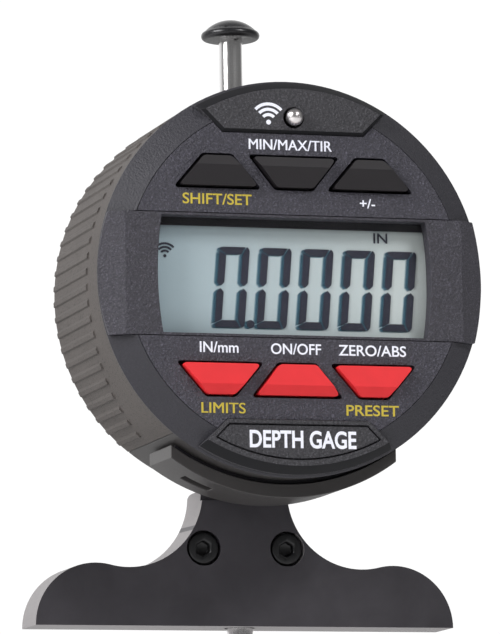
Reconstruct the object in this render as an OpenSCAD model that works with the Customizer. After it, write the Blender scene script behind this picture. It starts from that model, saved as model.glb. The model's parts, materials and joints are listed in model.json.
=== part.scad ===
/* [Base] */
// Width of the base along its sole
base_w = 63.5; // [54:0.5:110]
// Thickness of the base plate, front to back
base_t = 8.1; // [7.8:0.1:12]
// Distance of the base's front face ahead of the spindle axis
base_front = 3.7; // [3.6:0.1:5]
// Height of the neck's top above the sole
neck_h = 18.4; // [16.5:0.1:30]
// Rise of the neck behind the turning head
neck_rise = 1.9; // [1:0.1:2.4]
// Width of the neck at its top
neck_w = 12.9; // [11:0.1:20]
// Radius of the hollow curve between neck and foot
cove_r = 11.3; // [8:0.1:12]
// Radius of the rounded ends of the foot
end_r = 9.1; // [7:0.1:12]
// Spacing of the two clamp screws
screw_pitch = 12.7; // [12:0.1:14]
// Height of the clamp screws above the sole
screw_z = 11.4; // [10:0.1:13]

/* [Head] */
// Diameter of the display rim
rim_d = 57.15; // [55:0.05:72]
// Depth of the turning head, rear edge to front face
head_depth = 27.5; // [27:0.1:36]
// Gap between the stem and the head's rear edge
head_gap = 0.3; // [0.3:0.1:3]
// Gap between the neck and the turning head
neck_gap = 0.6; // [0.5:0.1:2]
// Width of the bevel round the face
bevel_w = 3.6; // [2:0.1:4]
// Depth of the bevel round the face
bevel_h = 2.3; // [1:0.1:3]
// Number of grip ribs on each side
rib_count = 26; // [8:1:27]
// Angle from one grip rib to the next
rib_step = 4.6; // [4:0.1:6]
// Width of a grip rib
rib_w = 1.2; // [0.8:0.1:1.6]
// Height of a grip rib
rib_up = 0.25; // [0.15:0.05:0.27]
// Half angle of the smooth housing below
foot_half = 38; // [36:1:44]

/* [Display and keys] */
// Width of the display window at its middle
win_w = 40.6; // [36:0.1:42]
// Height of the display window
win_h = 16.8; // [14:0.1:17]
// Distance of each key row from the face centre
key_row = 14.9; // [14.5:0.05:15.5]
// Height of a key
key_h = 4.4; // [3:0.1:5]
// Offset of the outer keys from the centre line
key_x = 11.35; // [11:0.05:11.8]
// Long edge of an outer key
key_long = 11.7; // [9:0.1:12]
// Short edge of an outer key
key_short = 4.1; // [3:0.1:5]
// Long edge of a middle key
mid_long = 12.4; // [10:0.1:12.6]
// Short edge of a middle key
mid_short = 5.4; // [4:0.1:6]
// Where a key's ridge lies, as a share of its height from the inner edge
key_ridge = 0.68; // [0.5:0.02:0.8]
// How far a key goes in
key_stroke = 0.5; // [0.3:0.1:0.5]
// Gap round each key
key_gap = 0.35; // [0.25:0.05:0.5]

/* [Spindle] */
// Travel of the spindle, and its reach below the sole at rest
travel = 25.4; // [12:0.1:25.4]
// Diameter of the spindle in the stem
spindle_d = 3.9; // [3.5:0.02:4.7]
// Diameter of the lifting rod above the head
rod_d = 3.45; // [3:0.05:3.5]
// Wall of the stem outside its bushings
stem_wall = 0.45; // [0.4:0.05:0.6]
// Diameter of the lifting cap
cap_d = 8.7; // [7:0.1:12]
// Height of the lifting cap
cap_h = 3; // [2:0.1:5]
// Height of the cap's underside above the face centre at rest
cap_lift = 40; // [38:0.5:60]
// Running clearance on the radius
run_gap = 0.05; // [0.02:0.01:0.1]

/* [Hidden] */
$fn = 96;
eps = 0.01;
apart = 0.3;
rim_r = rim_d / 2;
face_h = neck_h + rim_r + neck_gap + 0.025;
base_back = base_t - base_front;
spindle_r = spindle_d / 2;
rod_r = rod_d / 2;
bush_r = spindle_r + 0.4;
stem_r = bush_r + stem_wall;

// Depths ahead of the spindle axis, back to front
d_edge = stem_r + head_gap;
d_face = d_edge + head_depth;
d_case0 = -7.2;
d_cover0 = -8.5;
d_wall = 3.7;
d_case1 = 5.2;
d_back0 = 5.8;
d_back1 = 7.8;
d_pillar = 13;
d_hub = 9.6;
d_board0 = d_face - 8.6;
d_board1 = d_face - 7;
d_seam = d_face - bevel_h - 0.3;
d_plate0 = d_face - 3.7;
d_plate1 = d_face - 2.1;
d_mat1 = d_plate0 - 1.1 - key_stroke;
d_lens0 = d_face - 3.2;
d_lens1 = d_face - 2.2;
d_badge = d_face + 0.4;
d_key = d_face + 1.1;

// Radii about the head's axis
band_r = rim_r - 0.275;
band_in = rim_r - 2.275;
pocket_r = rim_r - bevel_w;
panel_r = pocket_r - 0.08;
plate_r = rim_r - 2.6;
case_r = rim_r - 4.575;
case_in = case_r - 1.5;
boss_at = rim_r - 4.675;
boss_r = 1.75;
board_r = rim_r - 3.8;
hub_r = 6;
seam_y = win_h / 2 + 0.45;
waist_x = rim_r - bevel_w + 0.1;
badge_r = rim_r - 0.3;
badge_y = rim_r - 8;

// Slider carried by the spindle, heights from the face centre
carrier_l = 14;
carrier_z = -case_in + 2.2;
rod_x = -6;
spring_x = -9.8;
spring_z0 = carrier_z + 2.7;
spring_z1 = carrier_z + carrier_l - 2.2;
carrier_y0 = -spindle_r - 0.05;
carrier_y1 = spindle_r + 0.65;

// Battery drawer
cell_r = 10;
cell_t = 3.2;
cell_y = 11.8 - rim_r;
tray_w = 21.8;
tray_d0 = d_face - 16.3;
tray_d1 = tray_d0 + 4.8;
door_w = 33.6;
door_drop = 2.3;
door_r = rim_r + door_drop;
door_d0 = d_face - 18.4;
door_d1 = d_face - 6.9;

// ---- Shared shapes ----

// Puts a shape drawn in the face's plane (x right, y up, z forward) in its place.
module head() {
  translate([0, 0, face_h])
    rotate([90, 0, 0])
      children();
}

// A ring about the head's axis.
module ring(outer, inner, from, to) {
  translate([0, 0, from])
    difference() {
      cylinder(r = outer, h = to - from);
      translate([0, 0, -1])
        cylinder(r = inner, h = to - from + 2);
    }
}

// An upright tube on the spindle axis.
module tube(outer, inner, from, to) {
  translate([0, 0, from])
    difference() {
      cylinder(r = outer, h = to - from);
      translate([0, 0, -1])
        cylinder(r = inner, h = to - from + 2);
    }
}

// A flat shape raised between two depths.
module slab(from, to) {
  translate([0, 0, from])
    linear_extrude(height = to - from)
      children();
}

// Shapes repeated at the four corner bosses.
module at_bosses() {
  for (a = [45 : 90 : 315])
    rotate([0, 0, a])
      translate([boss_at, 0, 0])
        children();
}

// Shapes repeated at the four cover screws.
module at_cover_screws() {
  for (sx = [-1, 1], sy = [-1, 1])
    translate([sx * 0.77 * case_in, sy * 0.45 * case_in, 0])
      children();
}

// ---- Key outlines ----

key_in = key_row - key_h / 2;
key_out = key_row + key_h / 2;

function key_outline(cx, inner_w, outer_w) = [
  [cx - inner_w / 2, key_in],
  [cx + inner_w / 2, key_in],
  [cx + outer_w / 2, key_out],
  [cx - outer_w / 2, key_out]
];

function turn_left(v) = [-v[1], v[0]] / norm(v);

// The point where two neighbouring edges meet once both are moved outward by g.
function grown_point(before, at, after, g) =
  let (n1 = -turn_left(at - before), n2 = -turn_left(after - at))
  at + g * (n1 + n2) / (1 + n1 * n2);

function grown(pts, g) = [
  for (i = [0 : len(pts) - 1])
    grown_point(pts[(i + len(pts) - 1) % len(pts)], pts[i], pts[(i + 1) % len(pts)], g)
];

left_key = key_outline(-key_x, key_long, key_short);
mid_key = key_outline(0, mid_short, mid_long);
right_key = key_outline(key_x, key_long, key_short);

// Lays the three outlines of a row, each grown by g, above and below the window.
module key_holes(g) {
  for (side = [0, 1])
    mirror([0, side, 0])
      for (outline = [left_key, mid_key, right_key])
        polygon(grown(outline, g));
}

// A key: a prism with a ridge across it, a long face inward and a short facet outward,
// and a flange behind the face that keeps it in.
module key_body(outline, row) {
  ridge = key_in + key_ridge * key_h;
  mirror([0, row, 0]) {
    slab(d_plate0 - apart - 0.7, d_plate0 - apart)
      polygon(grown(outline, key_gap + 0.3));
    difference() {
      slab(d_plate0 - apart - eps, d_key)
        polygon(outline);
      translate([-rim_r, ridge, d_key]) {
        rotate([-atan2(0.75, key_out - ridge), 0, 0])
          cube([2 * rim_r, key_h, 3]);
        rotate([atan2(0.35, ridge - key_in), 0, 0])
          translate([0, -key_h - 1, 0])
            cube([2 * rim_r, key_h + 1, 3]);
      }
    }
  }
}

// ---- Face outlines ----

// Badge pad: a lower edge, sides that flare at 45 degrees, closed by the rim's own curve.
module badge_outline(inset, limit_r) {
  half = 10.5 - 0.4 * inset;
  low = badge_y + inset;
  flare = rim_r - low;
  intersection() {
    circle(r = limit_r);
    polygon([
      [-half, low], [half, low],
      [half + flare, low + flare], [-half - flare, low + flare]
    ]);
  }
}

module badge_solid(top, inset) {
  rotate_extrude()
    polygon([
      [0, d_plate1], [badge_r - inset, d_plate1], [badge_r - inset, d_plate1 + 0.8],
      [badge_r - inset - 1.1, top], [0, top]
    ]);
}

// Window: straight top and bottom, ends that bow outward.
module window_outline(grow) {
  bow = 52;
  half = win_w / 2 + grow;
  intersection() {
    square([2 * half, win_h + 2 * grow], center = true);
    translate([bow - half, 0])
      circle(r = bow, $fn = 360);
    translate([half - bow, 0])
      circle(r = bow, $fn = 360);
  }
}

module panel_half() {
  intersection() {
    circle(r = panel_r);
    translate([-rim_r, seam_y + 0.05])
      square([2 * rim_r, rim_r]);
  }
}

// ---- Base ----

cove_x = neck_w / 2 + cove_r;
foot_x = base_w / 2 - end_r;
cove_z = sqrt(pow(cove_r + end_r, 2) - pow(foot_x - cove_x, 2)) - 0.005;
neck_top = neck_h + neck_rise;
neck_round = 1.3;
round_x = neck_w / 2 - neck_round + 0.06;
meet_x = cove_x + (foot_x - cove_x) * cove_r / (cove_r + end_r);
meet_z = cove_z * end_r / (cove_r + end_r);

// Outline of the base, seen from the front: each cove runs tangent into the rounded end.
module base_outline() {
  intersection() {
    union() {
      translate([-base_w / 2, 0])
        square([base_w, neck_top - neck_round]);
      translate([-round_x, 0])
        square([2 * round_x, neck_top]);
      for (side = [-1, 1])
        translate([side * round_x, neck_top - neck_round])
          circle(r = neck_round);
    }
    difference() {
      union() {
        translate([-meet_x, 0])
          square([2 * meet_x, meet_z]);
        translate([-cove_x, 0])
          square([2 * cove_x, neck_top]);
        for (side = [-1, 1])
          translate([side * foot_x, 0])
            circle(r = end_r);
      }
      for (side = [-1, 1])
        translate([side * cove_x, cove_z])
          circle(r = cove_r);
    }
  }
}

clamp_half = screw_pitch / 2 + 1.25;
clamp_tall = 4.4;
clamp_y = 0.5;

module clamp_room(extra) {
  translate([-clamp_half - extra, clamp_y, screw_z - clamp_tall / 2 - extra])
    cube([2 * (clamp_half + extra), base_back - clamp_y + (extra > 0 ? 1 : 0),
      clamp_tall + 2 * extra]);
}

module base_plate() {
  color("DimGray")
    difference() {
      translate([0, base_back, 0])
        rotate([90, 0, 0])
          linear_extrude(height = base_t)
            base_outline();
      translate([-neck_w, -base_front - 1, neck_h])
        cube([2 * neck_w, base_front + 1 - d_edge + 0.4, 2 * neck_rise]);
      translate([0, 0, 1])
        cylinder(r = stem_r, h = neck_top + 1);
      translate([0, 0, -1])
        cylinder(r = spindle_r + 0.35, h = 4);
      clamp_room(0.1);
      for (side = [-1, 1])
        translate([side * screw_pitch / 2, -base_front, screw_z])
          rotate([-90, 0, 0]) {
            translate([0, 0, -1])
              cylinder(r = 2.6, h = 3.2);
            cylinder(r = 1.15, h = base_t);
          }
    }
}

module stem_clamp() {
  color("SlateGray")
    difference() {
      clamp_room(0);
      cylinder(r = stem_r, h = neck_h);
      for (side = [-1, 1])
        translate([side * screw_pitch / 2, clamp_y - 1, screw_z])
          rotate([-90, 0, 0])
            cylinder(r = 1, h = base_t);
    }
}

module clamp_screws() {
  color("Black")
    for (side = [-1, 1])
      translate([side * screw_pitch / 2, -base_front + 0.2, screw_z])
        rotate([-90, 0, 0])
          difference() {
            union() {
              cylinder(r = 2.3, h = 2);
              translate([0, 0, 1])
                cylinder(r = 1, h = base_t - 2.2);
            }
            translate([0, 0, -1])
              cylinder(r = 1.15, h = 2.2, $fn = 6);
          }
}

// ---- Stem and fixed rear case ----

stem_top = face_h - case_in + 0.9;

module stem() {
  color("Silver")
    tube(stem_r, bush_r, 1, stem_top);
}

module lower_bushing() {
  color("Peru")
    for (z = [1, stem_top - 6])
      tube(bush_r, spindle_r + run_gap, z, z + 6);
}

module rear_case() {
  color("DarkSlateGray")
    difference() {
      union() {
        head()
          difference() {
            translate([0, 0, d_case0])
              cylinder(r = case_r, h = d_case1 - d_case0);
            translate([0, 0, d_case0 - 1])
              cylinder(r = case_in, h = d_wall - d_case0 + 1);
          }
        translate([0, 0, face_h - case_r - 1.6])
          cylinder(r = 4.1, h = 3);
        translate([0, 0, face_h + case_r - 1.4])
          cylinder(r = 4.1, h = 3);
        head() {
          at_cover_screws()
            translate([0, 0, d_case0])
              cylinder(r = 1.7, h = d_wall - d_case0 + 0.5);
          translate([0, 0, d_case1 - 0.5])
            cylinder(r = hub_r, h = d_hub - d_case1 + 0.5);
        }
      }
      cylinder(r = stem_r, h = face_h);
      translate([0, 0, face_h])
        cylinder(r = stem_r, h = 2 * rim_r);
      head() {
        at_cover_screws()
          translate([0, 0, d_case0 - 1])
            cylinder(r = 0.8, h = 7);
        translate([0, 0, -1])
          cylinder(r = 3, h = d_hub + 2);
      }
      translate([rod_x, 0, face_h - case_in - 0.9])
        cylinder(r = 0.8, h = 2 * case_in + 1.8);
      head()
        translate([spring_x, spring_z0 - 0.9, d_wall - 1])
          cylinder(r = 0.7, h = 1.8);
    }
}

module back_cover() {
  color("Gray")
    head()
      difference() {
        translate([0, 0, d_cover0])
          cylinder(r = case_r, h = d_case0 - d_cover0);
        at_cover_screws()
          translate([0, 0, d_cover0 - 1])
            cylinder(r = 1, h = 4);
        at_cover_screws()
          translate([0, 0, d_cover0 - 1])
            cylinder(r = 1.7, h = 1.7);
      }
}

module cover_screws() {
  color("Silver")
    head()
      at_cover_screws()
        difference() {
          union() {
            translate([0, 0, d_cover0])
              cylinder(r = 1.6, h = 0.7);
            translate([0, 0, d_cover0 + 0.5])
              cylinder(r = 0.8, h = 5);
          }
          translate([-2, -0.2, d_cover0 - 0.1])
            cube([4, 0.4, 0.4]);
        }
}

module top_bushing() {
  color("Silver")
    tube(stem_r, rod_r + run_gap, face_h + case_in - 0.6, face_h + rim_r + 1.9);
}

module stop_buffer() {
  color("Black")
    tube(3.6, spindle_r + apart, stem_top, stem_top + 1);
}

module guide_rod() {
  color("Silver")
    translate([rod_x, 0, face_h - case_in - 0.1])
      cylinder(r = 0.8, h = 2 * case_in + 0.2);
}

module spring_post() {
  color("Silver")
    head()
      translate([spring_x, spring_z0 - 0.9, -1.6])
        cylinder(r = 0.7, h = d_wall + 1.6 + 0.8);
}

// A close-wound extension spring from the post up to the slider's arm.
module return_spring() {
  turns = 8;
  color("Silver")
    translate([spring_x, 0, face_h + spring_z0])
      linear_extrude(height = spring_z1 - spring_z0, twist = -360 * turns, slices = 12 * turns,
        $fn = 8)
        translate([1.1, 0])
          circle(r = 0.25, $fn = 8);
}

module stator_board() {
  color("DarkGreen")
    head()
      slab(d_wall - 0.8, d_wall)
        difference() {
          union() {
            translate([3.6, 2.5 - case_in])
              square([4.8, 2 * case_in - 5]);
            translate([3.6, -5])
              square([12, 10]);
          }
        }
}

module sensor_chip() {
  color("Black")
    head()
      translate([10, -2.5, d_wall - 1.9])
        cube([5, 5, 1.1]);
}

module hub_connector() {
  color("Black")
    head()
      translate([0, 0, d_wall - 0.3])
        difference() {
          cylinder(r = 2.9, h = d_hub - d_wall + 0.1);
          for (i = [-1 : 1])
            translate([i * 1.4, 0, d_hub - d_wall - 1])
              cylinder(r = 0.4, h = 2);
        }
}

module hub_nut() {
  color("Silver")
    head()
      ring(hub_r + 2, hub_r, d_back1 + apart, d_hub - 0.1);
}

// ---- Moving spindle ----

shoulder = face_h + carrier_z + carrier_l + 1;

module spindle() {
  color("Gainsboro")
    difference() {
      union() {
        translate([0, 0, 4.2 - travel])
          cylinder(r = spindle_r, h = shoulder - 4.2 + travel);
        cylinder(r = rod_r, h = face_h + cap_lift + cap_h * 0.5);
      }
      translate([0, 0, 3.2 - travel])
        cylinder(r = 1.1, h = 5);
    }
}

// Domed cap with a rolled rim and a flat underside.
module lift_cap() {
  cap_r = cap_d / 2;
  roll = 0.65;
  rise = cap_h - roll;
  dome_r = (pow(cap_r, 2) + pow(rise, 2)) / (2 * rise);
  color("Black")
    translate([0, 0, face_h + cap_lift])
      difference() {
        rotate_extrude()
          union() {
            intersection() {
              translate([0, cap_h - dome_r])
                circle(r = dome_r);
              translate([0, roll])
                square([cap_r, cap_h]);
            }
            square([cap_r - roll, roll + eps]);
            intersection() {
              translate([cap_r - roll, roll])
                circle(r = roll);
              square([cap_r, 2 * cap_h]);
            }
          }
        translate([0, 0, -1])
          cylinder(r = rod_r, h = 1 + cap_h * 0.5);
      }
}

module contact_point() {
  color("Silver")
    translate([0, 0, -travel]) {
      translate([0, 0, 1.2])
        sphere(r = 1.2);
      translate([0, 0, 1.2])
        cylinder(r = 1.2, h = 1.2);
      translate([0, 0, 2.2])
        cylinder(r = spindle_r, h = 2);
      translate([0, 0, 4])
        cylinder(r = 1.1, h = 4.1);
    }
}

module slider_carrier() {
  color("Khaki")
    difference() {
      union() {
        translate([-7.6, carrier_y0, face_h + carrier_z])
          cube([15.4, carrier_y1 - carrier_y0, carrier_l]);
        translate([-10.8, -1.4, face_h + carrier_z + carrier_l - 2])
          cube([5, 2.8, 2]);
      }
      cylinder(r = spindle_r, h = 3 * face_h);
      translate([rod_x, 0, 0])
        cylinder(r = 0.8 + run_gap, h = 3 * face_h);
      translate([0, spindle_r - 0.2, face_h + carrier_z + carrier_l / 2])
        rotate([-90, 0, 0])
          cylinder(r = 0.7, h = 5);
    }
}

module slider_strip() {
  color("Gold")
    translate([2.6, carrier_y0 - 0.35, face_h + carrier_z])
      cube([5, 0.35, carrier_l]);
}

module carrier_screw() {
  color("Silver")
    translate([0, spindle_r, face_h + carrier_z + carrier_l / 2])
      rotate([-90, 0, 0])
        difference() {
          union() {
            cylinder(r = 0.7, h = carrier_y1 - spindle_r + 0.2);
            translate([0, 0, carrier_y1 - spindle_r])
              cylinder(r = 1.4, h = 1.1);
          }
          translate([-2, -0.2, carrier_y1 - spindle_r + 0.7])
            cube([4, 0.4, 1]);
        }
}

// ---- Turning head ----

module band_profile() {
  translate([band_in, d_edge])
    square([band_r - band_in, d_seam - d_edge]);
}

// How far forward a grip rib runs: short at the bottom, full length from a third of the way up.
function rib_end(angle) = d_edge + head_depth * (0.41 + 0.27 * min(1, angle / 33));

module grip_ring() {
  start = foot_half - 90 + 0.15;
  color("DimGray")
    head() {
      rotate([0, 0, start])
        rotate_extrude(angle = 360 - 2 * foot_half - 0.3)
          band_profile();
      for (side = [0, 1])
        mirror([side, 0, 0])
          for (i = [0 : rib_count - 1])
            rotate([0, 0, start + 4 + i * rib_step])
              slab(d_edge + 0.4, rib_end(i * rib_step))
                polygon([
                  [band_r - 0.5, -rib_w / 2], [band_r, -rib_w / 2],
                  [band_r + rib_up, 0.2 - rib_w / 2], [band_r + rib_up, rib_w / 2 - 0.4],
                  [band_r - 0.02, rib_w / 2], [band_r - 0.5, rib_w / 2]
                ]);
    }
}

module bottom_housing() {
  color("DarkSlateGray")
    head()
      difference() {
        rotate([0, 0, -90 - foot_half])
          rotate_extrude(angle = 2 * foot_half)
            band_profile();
        translate([-tray_w / 2 - 0.4, -2 * rim_r, tray_d0 - 0.4])
          cube([tray_w + 0.8, 2 * rim_r, tray_d1 - tray_d0 + 0.8]);
      }
}

module bezel() {
  color("DimGray")
    head()
      difference() {
        union() {
          rotate_extrude()
            polygon([
              [band_in - 1, d_seam - 1.5], [band_in - 0.1, d_seam - 1.5],
              [band_in - 0.1, d_seam], [rim_r, d_seam],
              [rim_r, d_face - bevel_h], [pocket_r, d_face],
              [pocket_r, d_plate1], [0, d_plate1],
              [0, d_plate0], [band_in - 1, d_plate0]
            ]);
          at_bosses()
            translate([0, 0, d_pillar])
              cylinder(r = boss_r, h = d_plate0 - d_pillar + 0.5);
        }
        at_bosses()
          translate([0, 0, d_pillar - 1])
            cylinder(r = 0.8, h = 9);
        slab(d_plate0 - 1, d_plate1 + 1)
          window_outline(0.9);
        slab(d_plate0 - 1, d_lens0)
          square([win_w + 0.9, win_h + 1.5], center = true);
        slab(d_plate0 - 1, d_plate1 + 1)
          key_holes(key_gap);
        translate([0, badge_y + 2.3, d_plate0 - 1])
          cylinder(r = 1.05, h = 4);
        slab(d_plate1, d_face + 2) {
          for (side = [0, 1])
            mirror([0, side, 0])
              badge_outline(0, rim_r + 1);
          square([2 * rim_r + 2, 2 * seam_y], center = true);
        }
      }
}

module upper_panel() {
  color("SlateGray")
    head()
      slab(d_plate1, d_face)
        difference() {
          panel_half();
          badge_outline(-0.08, rim_r);
          key_holes(key_gap);
        }
}

module lower_panel() {
  color("SlateGray")
    head()
      slab(d_plate1, d_face)
        difference() {
          mirror([0, 1, 0])
            panel_half();
          mirror([0, 1, 0])
            badge_outline(-0.08, rim_r);
          key_holes(key_gap);
        }
}

// The band across the middle: flat round the window, with a straight slope out to the rim.
module waist_panel() {
  color("DimGray")
    head()
      difference() {
        slab(d_plate1, d_face)
          difference() {
            intersection() {
              circle(r = rim_r);
              square([2 * rim_r, 2 * seam_y - 0.1], center = true);
            }
            window_outline(0);
          }
        for (side = [0, 1])
          mirror([side, 0, 0])
            translate([waist_x, -rim_r, d_face])
              rotate([0, atan2(d_face - d_plate1 - 0.1, rim_r - waist_x), 0])
                cube([rim_r, 2 * rim_r, 3]);
      }
}

module top_badge() {
  color("DarkSlateGray")
    head()
      difference() {
        intersection() {
          badge_solid(d_badge, 0.05);
          slab(d_plate1, d_badge)
            badge_outline(0, rim_r);
        }
        translate([0, badge_y + 2.3, d_plate1 - 1])
          cylinder(r = 1.5, h = 5);
      }
}

module badge_frame() {
  color("DarkSlateGray")
    head()
      mirror([0, 1, 0])
        difference() {
          intersection() {
            badge_solid(d_badge, 0.05);
            slab(d_plate1, d_badge)
              badge_outline(0, rim_r);
          }
          slab(d_face - 0.3, d_badge + 1)
            badge_outline(0.6, badge_r - 2);
        }
}

module badge_insert() {
  color("Black")
    head()
      mirror([0, 1, 0])
        slab(d_face - 0.3, d_badge - 0.1)
          badge_outline(0.8, badge_r - 2.2);
}

module window_lens() {
  color("LightBlue")
    head()
      slab(d_lens0, d_lens1)
        window_outline(0.8);
}

module lcd_glass() {
  color("LightSteelBlue")
    head()
      translate([0, 0, (d_lens0 + d_face - 5.2) / 2])
        cube([win_w + 0.8, win_h + 1.4, d_lens0 - d_face + 5.2], center = true);
}

module lcd_holder() {
  color("WhiteSmoke")
    head()
      slab(d_board1, d_plate0)
        difference() {
          square([win_w + 3.2, win_h + 3.4], center = true);
          square([win_w + 1, win_h + 1.6], center = true);
        }
}

module zebra_strips() {
  color("Pink")
    head()
      for (side = [-1, 1])
        translate([0, side * (win_h / 2 - 0.4), (d_board1 + d_face - 5.2) / 2])
          cube([win_w - 3, 1.6, d_face - 5.2 - d_board1], center = true);
}

module main_board() {
  color("DarkGreen")
    head()
      difference() {
        translate([0, 0, d_board0])
          cylinder(r = board_r, h = d_board1 - d_board0);
        at_bosses()
          translate([0, 0, d_board0 - 1])
            cylinder(r = boss_r + 0.3, h = 4);
      }
}

module controller_chip() {
  color("Black")
    head()
      translate([-4.5, 1, d_board0 - 1.2])
        cube([9, 9, 1.2]);
}

module radio_module() {
  color("Silver")
    head()
      translate([-6, 12.5, d_board0 - 2.2])
        cube([12, 8, 2.2]);
}

module battery_contacts() {
  color("Gold")
    head()
      for (side = [-1, 1])
        translate([side * 5 - 1.5, cell_y - 3, 0]) {
          translate([0, 0, d_board0 - 1.6])
            cube([3, 1.2, 1.6]);
          translate([0, 0, d_board0 - 1.9])
            cube([3, 7, 0.35]);
        }
}

module key_mat() {
  color("DarkGray")
    head()
      difference() {
        translate([0, 0, d_board1])
          cylinder(r = board_r - 0.3, h = d_mat1 - d_board1);
        translate([0, 0, d_board1])
          cube([2 * rim_r, win_h + 3.6, 6], center = true);
        at_bosses()
          translate([0, 0, d_board1 - 1])
            cylinder(r = boss_r + 0.3, h = 4);
      }
}

module head_back_plate() {
  color("Gray")
    head()
      difference() {
        union() {
          translate([0, 0, d_back0])
            cylinder(r = band_in, h = d_back1 - d_back0);
          at_bosses()
            translate([0, 0, d_back1 - 0.5])
              cylinder(r = boss_r, h = d_pillar - d_back1 + 0.5);
        }
        translate([0, 0, d_back0 - 1])
          cylinder(r = hub_r + 0.1, h = 4);
        at_bosses() {
          translate([0, 0, d_back0 - 1])
            cylinder(r = 1, h = d_pillar);
          translate([0, 0, d_back0 - 1])
            cylinder(r = 1.7, h = 2.2);
        }
      }
}

module head_screws() {
  color("Silver")
    head()
      at_bosses()
        difference() {
          union() {
            translate([0, 0, d_back0 + 0.1])
              cylinder(r = 1.6, h = 1.1);
            translate([0, 0, d_back0 + 1])
              cylinder(r = 0.8, h = d_pillar - d_back0 + 6);
          }
          translate([-2, -0.2, d_back0])
            cube([4, 0.4, 0.6]);
        }
}

// ---- Keys ----

module key_shift() {
  color("Black")
    head()
      key_body(left_key, 0);
}

module key_minmax() {
  color("Black")
    head()
      key_body(mid_key, 0);
}

module key_sign() {
  color("Black")
    head()
      key_body(right_key, 0);
}

module key_units() {
  color("Red")
    head()
      key_body(left_key, 1);
}

module key_power() {
  color("Red")
    head()
      key_body(mid_key, 1);
}

module key_zero() {
  color("Red")
    head()
      key_body(right_key, 1);
}

module send_button() {
  color("Silver")
    head()
      translate([0, badge_y + 2.3, 0]) {
        translate([0, 0, d_plate0 - apart])
          cylinder(r = 0.75, h = d_badge - d_plate0 + 0.5);
        translate([0, 0, d_plate0 - apart - 0.7])
          cylinder(r = 1.5, h = 0.7);
        translate([0, 0, d_badge + 0.45])
          sphere(r = 1.25);
      }
}

// ---- Battery drawer ----

module battery_door() {
  color("DarkSlateGray")
    head()
      difference() {
        union() {
          slab(door_d0, door_d1)
            intersection() {
              difference() {
                translate([0, -door_drop])
                  circle(r = rim_r);
                circle(r = rim_r + 0.35);
              }
              translate([-door_w / 2, -2 * rim_r])
                square([door_w, 2 * rim_r]);
            }
          slab(tray_d0, tray_d1) {
            intersection() {
              translate([-tray_w / 2, -rim_r - 1])
                square([tray_w, cell_y + rim_r + 1]);
              translate([0, -door_drop / 2])
                circle(r = rim_r);
            }
            translate([0, cell_y])
              circle(r = tray_w / 2);
          }
        }
        translate([0, cell_y, tray_d0 + 0.9])
          cylinder(r = cell_r + 0.1, h = 8);
        rotate([0, 0, -22])
          translate([-2.2, -door_r - 1, (door_d0 + door_d1) / 2 - 1.6])
            cube([4.4, 2.2, 2.8]);
      }
}

module battery_cell() {
  color("Silver")
    head()
      translate([0, cell_y, tray_d0 + 0.9]) {
        cylinder(r = cell_r, h = cell_t - 0.4);
        cylinder(r = cell_r - 1.2, h = cell_t);
      }
}

// ---- Nodes ----

base_plate();
stem_clamp();
clamp_screws();
stem();
lower_bushing();
rear_case();
back_cover();
cover_screws();
top_bushing();
stop_buffer();
guide_rod();
spring_post();
return_spring();
stator_board();
sensor_chip();
hub_connector();
hub_nut();
spindle();
lift_cap();
contact_point();
slider_carrier();
slider_strip();
carrier_screw();
grip_ring();
bottom_housing();
bezel();
upper_panel();
lower_panel();
waist_panel();
top_badge();
badge_frame();
badge_insert();
window_lens();
lcd_glass();
lcd_holder();
zebra_strips();
main_board();
controller_chip();
radio_module();
battery_contacts();
key_mat();
head_back_plate();
head_screws();
key_shift();
key_minmax();
key_sign();
key_units();
key_power();
key_zero();
send_button();
battery_door();
battery_cell();
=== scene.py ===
"""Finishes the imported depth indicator.

The mouldings' edges are softened and dressed, the socket screws, the legends, the
display's segments and the send button are modelled, and the studio is set up.
"""

import json
import logging
import math
from dataclasses import dataclass, field
from enum import Enum
from typing import Any, Callable, Optional

import bpy
from mathutils import Matrix, Vector


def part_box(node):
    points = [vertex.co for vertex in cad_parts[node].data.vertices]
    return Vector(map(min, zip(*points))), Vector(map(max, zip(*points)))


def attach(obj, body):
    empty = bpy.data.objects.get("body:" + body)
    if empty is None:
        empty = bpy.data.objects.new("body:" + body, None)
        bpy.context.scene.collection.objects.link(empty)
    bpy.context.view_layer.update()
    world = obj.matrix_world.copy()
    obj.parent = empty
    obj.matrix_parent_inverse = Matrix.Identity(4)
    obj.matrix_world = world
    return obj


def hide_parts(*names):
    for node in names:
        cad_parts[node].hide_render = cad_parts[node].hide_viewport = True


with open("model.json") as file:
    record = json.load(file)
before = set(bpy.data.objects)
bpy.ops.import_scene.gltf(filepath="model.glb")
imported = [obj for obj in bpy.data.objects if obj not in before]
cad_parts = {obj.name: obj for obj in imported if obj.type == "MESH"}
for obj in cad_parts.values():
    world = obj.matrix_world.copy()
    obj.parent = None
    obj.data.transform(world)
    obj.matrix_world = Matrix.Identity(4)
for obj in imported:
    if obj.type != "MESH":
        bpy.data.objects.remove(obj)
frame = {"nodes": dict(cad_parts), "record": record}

log = logging.getLogger("depth_indicator")

MM = 0.001
MERGE_MM = 0.003
FLAT_DEGREES = 0.4
SHARP_DEGREES = 28.0
SMOOTH_DEGREES = 32.0
PRINT_MM = 0.02
NODE_BODY = {
    node: body
    for body, nodes in frame["record"]["behaviour"]["bodies"].items()
    for node in nodes
}


# ---------------------------------------------------------------- shader building


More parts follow.
